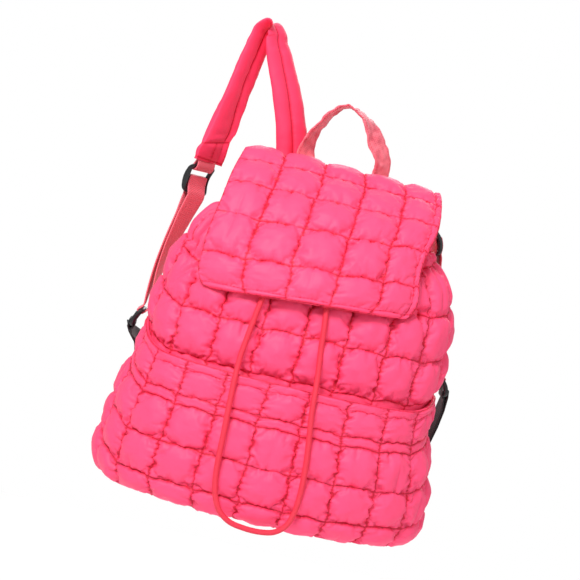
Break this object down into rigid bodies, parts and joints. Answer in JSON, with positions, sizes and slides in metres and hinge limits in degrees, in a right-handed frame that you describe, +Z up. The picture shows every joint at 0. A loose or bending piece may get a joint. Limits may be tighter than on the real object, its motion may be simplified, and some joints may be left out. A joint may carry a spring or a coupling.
{
  "type": "quilted backpack",
  "caption": "Small quilted puffer backpack with a drawcord mouth under a fold-over flap, a gathered front pocket, a top handle and padded shoulder straps, held up by its left strap.",
  "frame": {"origin": "inside the fold of the left shoulder strap, where a hook holds the bag", "axes": "+Z up along the upright bag, -Y towards the front with the flap and pocket, +X towards the bag's right as seen from the front"},
  "size_m": [0.3424, 0.2416, 0.4818],
  "materials": {
    "quilted_pink": "padded nylon with a soft sheen, hot pink",
    "pad_pink": "padded nylon, hot pink, matte",
    "pink_webbing": "woven tape, coral pink",
    "red_cord": "round braided cord, coral red",
    "black_plastic": "moulded, satin black",
    "black_webbing": "woven tape, black"
  },
  "bodies": {
    "root": {"shell": "quilted_pink", "back_panel": "quilted_pink", "base_panel": "quilted_pink", "front_pocket": "quilted_pink", "flap": "quilted_pink", "top_handle": "pink_webbing", "strap_pad_left": "pad_pink", "keeper_left": "pink_webbing", "slider_left": "black_plastic", "strap_webbing_left": "pink_webbing", "ring_left": "black_plastic", "anchor_tab_left": "black_webbing", "strap_pad_right": "pad_pink", "keeper_right": "pink_webbing", "slider_right": "black_plastic", "strap_webbing_right": "pink_webbing", "ring_right": "black_plastic", "anchor_tab_right": "black_webbing", "drawcord": "red_cord"}
  },
  "joints": []
}
